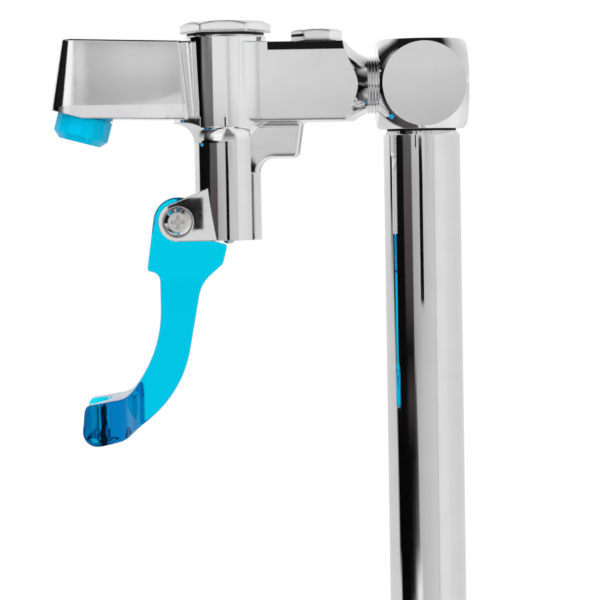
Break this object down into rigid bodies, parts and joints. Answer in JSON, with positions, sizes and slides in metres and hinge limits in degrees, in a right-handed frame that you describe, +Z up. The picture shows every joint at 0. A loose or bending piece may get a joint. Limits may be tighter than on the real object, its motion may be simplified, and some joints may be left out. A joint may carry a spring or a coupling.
{
  "type": "glass filler faucet",
  "caption": "Deck-mounted glass filler faucet: a chrome riser and elbow carry a short valve arm with a blue angled nozzle and a forked lever that a glass pushes back.",
  "frame": {"origin": "centre of the riser on the deck surface that the base gasket rests on", "axes": "+Z up along the riser, -X towards the spout, +Y away from the viewer, across the valve's plane of symmetry"},
  "size_m": [0.1559, 0.054, 0.2993],
  "materials": {
    "chrome": "polished chrome plate over brass",
    "tube_chrome": "polished chrome plate over drawn brass tube",
    "nut_brass": "plain turned brass",
    "inner_brass": "turned brass, inside the valve",
    "stem_steel": "ground stainless steel",
    "spring_steel": "stainless spring wire",
    "screw_steel": "polished stainless steel",
    "black_rubber": "black nitrile rubber",
    "blue_plastic": "clear-tinted blue moulded plastic",
    "white_plastic": "white acetal"
  },
  "bodies": {
    "fixed": {"flange_gasket": "black_rubber", "deck_flange": "chrome", "inlet_shank": "nut_brass", "deck_washer": "black_rubber", "lock_nut": "nut_brass", "riser_tube": "tube_chrome", "riser_washer": "black_rubber", "elbow_body": "chrome", "valve_body": "chrome", "cap_nut": "chrome", "cap_gasket": "black_rubber", "service_plug": "chrome", "plug_washer": "black_rubber", "seat_ring": "inner_brass", "stem_guide": "inner_brass", "stem_seal": "black_rubber", "valve_spring": "spring_steel", "nozzle": "blue_plastic", "flow_straightener": "white_plastic", "pivot_bush": "white_plastic", "pivot_screw": "screw_steel"},
    "lever": {"push_lever": "blue_plastic"},
    "stem": {"valve_stem": "stem_steel", "valve_disc": "black_rubber", "disc_clip": "stem_steel"}
  },
  "joints": [
    {"name": "lever_pivot", "type": "hinge", "parent": "fixed", "child": "lever", "pos_m": [-0.0857, 0, 0.1723], "axis": [0, -1, 0], "range_deg": [0, 12], "stiffness_Nm_per_rad": 0.3, "springref_deg": -34.38},
    {"name": "stem_slide", "type": "slide", "parent": "fixed", "child": "stem", "axis": [0, 0, 1], "range_m": [0, 0.0038], "deforming": ["valve_spring"]}
  ],
  "couplings": [
    {"joint": "stem_slide", "follows": "lever_pivot", "m_per_rad": 0.01767}
  ]
}
